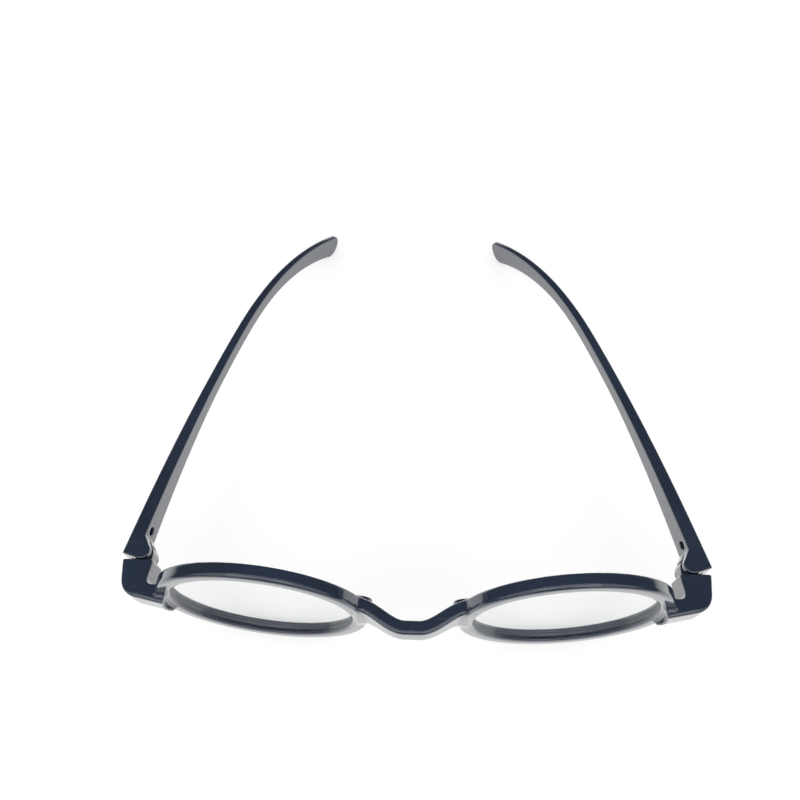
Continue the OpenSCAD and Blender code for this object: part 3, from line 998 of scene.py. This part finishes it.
# %% [markdown]
# The plastic is close to black with some blue in it, and polished. Two clear layers, the
# plastic's own surface and its lacquer, make upright faces mirror the white sheet well.
# Each pair of roughnesses runs from clean to dull.

# %% Plastic
DARK_SHADE = (0.0115, 0.0205, 0.042, 1)
LIGHT_SHADE = (0.015, 0.0262, 0.052, 1)
PLASTIC_ROUGH = (0.15, 0.42)
LACQUER_ROUGH = (0.07, 0.3)
PLASTIC_IOR = 1.6
LACQUER = 0.9
PLASTIC_BUMP = 0.00003

plastic, tree, shader = bare("polished_navy_plastic")
marks = node(tree, "Group")
marks.node_tree = surface
tint = node(tree, "Mix")
tint.data_type = "RGBA"
shades = [i for i in tint.inputs if i.type == "RGBA"]
shades[0].default_value = DARK_SHADE
shades[1].default_value = LIGHT_SHADE
tree.links.new(marks.outputs["Shade"], tint.inputs[0])
bump = node(
    tree, "Bump", Strength=1.0, Distance=PLASTIC_BUMP, Height=marks.outputs["Height"])
set_inputs(tree, shader, {
    "Base Color": [o for o in tint.outputs if o.type == "RGBA"][0],
    "Roughness": ramp(tree, marks.outputs["Dull"], 0, 1, *PLASTIC_ROUGH),
    "IOR": PLASTIC_IOR, "Normal": bump.outputs[0],
    "Coat Weight": LACQUER, "Coat IOR": PLASTIC_IOR, "Coat Normal": bump.outputs[0],
    "Coat Roughness": ramp(tree, marks.outputs["Dull"], 0, 1, *LACQUER_ROUGH)})
print(plastic.name, "of", len(tree.nodes), "nodes")

# %% [markdown]
# The screws are turned steel: fine rings about their own axis, on the head and the shank.
# Both sides are alike, so the distance from the axis is taken from the size of X. The axis
# leans with the front, so its place from front to back moves with the height.

# %% Steel
STEEL_COLOUR = (0.62, 0.62, 0.63, 1)
STEEL_ROUGH = (0.26, 0.42)
RING_PITCH = 0.00006
STAIN_SCALE = 1800.0
STAINED = (0.3, 0.7)
STEEL_BUMP = 0.000006

steel, tree, shader = bare("turned_steel")
spot = node(tree, "TexCoord").outputs["Object"]
parts = node(tree, "SeparateXYZ", Vector=spot).outputs
beside = maths(tree, "SUBTRACT", maths(tree, "ABSOLUTE", parts["X"]), AXIS_X * MM)
upright = maths(tree, "MULTIPLY_ADD", parts["Z"], -math.tan(LEAN), parts["Y"])
axis_back = (MID_SHIFT + AXIS_Y / math.cos(LEAN)) * MM - RING_Z * MM * math.tan(LEAN)
behind = maths(tree, "SUBTRACT", upright, axis_back)
squares = [maths(tree, "POWER", v, 2.0) for v in (beside, behind)]
reach = maths(tree, "SQRT", maths(tree, "ADD", *squares))
rings = maths(tree, "SINE", maths(tree, "MULTIPLY", reach, 2 * math.pi / RING_PITCH))
stain = node(tree, "TexNoise", Vector=spot, Scale=STAIN_SCALE, Detail=3.0).outputs[0]
bump = node(
    tree, "Bump", Strength=0.6, Distance=STEEL_BUMP, Height=maths(tree, "ADD", rings, stain))
set_inputs(tree, shader, {
    "Base Color": STEEL_COLOUR, "Metallic": 1, "Normal": bump.outputs[0],
    "Roughness": ramp(tree, stain, *STAINED, *STEEL_ROUGH)})
print(steel.name, "of", len(tree.nodes), "nodes")

# %% [markdown]
# The lenses are clear and reflect hardly anything, as the openings in the photograph do, so
# most of the light goes straight through without bending. Light from lamps passes straight
# through too, so they cast no dark shadow. A faint smear changes the gloss from place to place.

# %% Clear lens
PASSES = 0.96
LENS_COLOUR = (0.985, 0.99, 0.99, 1)
PASSED_COLOUR = (0.97, 0.975, 0.975, 1)
LENS_IOR = 1.5
LENS_ROUGH = (0.01, 0.035)
SMEAR_SCALE = 70.0
SMEARED = (0.45, 0.75)
LENS_BUMP = 0.000004

clear, tree, shader = bare("clear_lens")
spot = node(tree, "TexCoord").outputs["Object"]
smear = node(tree, "TexNoise", Vector=spot, Scale=SMEAR_SCALE, Detail=3.0).outputs[0]
bump = node(tree, "Bump", Strength=0.2, Distance=LENS_BUMP, Height=smear)
set_inputs(tree, shader, {
    "Base Color": LENS_COLOUR, "Transmission Weight": 1, "IOR": LENS_IOR,
    "Normal": bump.outputs[0], "Roughness": ramp(tree, smear, *SMEARED, *LENS_ROUGH)})
passing = node(tree, "BsdfTransparent", Color=PASSED_COLOUR)
path = node(tree, "LightPath").outputs
straight = maths(tree, "MAXIMUM", path["Is Shadow Ray"], PASSES)
either = node(tree, "MixShader", n0=straight, n1=shader.outputs[0], n2=passing.outputs[0])
set_inputs(tree, tree.nodes["Material Output"], {"Surface": either.outputs[0]})
print(clear.name, "of", len(tree.nodes), "nodes")

# %% [markdown]
# Each new piece gets its finish here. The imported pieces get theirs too: the two screws are
# shown as they are, so they need the steel.

# %% Finishes
moulded = (front, temple_left, temple_right)
panes = (pane_left, pane_right)
for things, finish in ((moulded, plastic), (panes, clear)):
    for thing in things:
        thing.data.materials.append(finish)
for name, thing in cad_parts.items():
    finish = steel if "screw" in name else clear if "lens" in name else plastic
    for slot in thing.material_slots:
        slot.material = finish
print("finishes on", len(moulded + panes), "new and", len(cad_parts), "packed pieces")
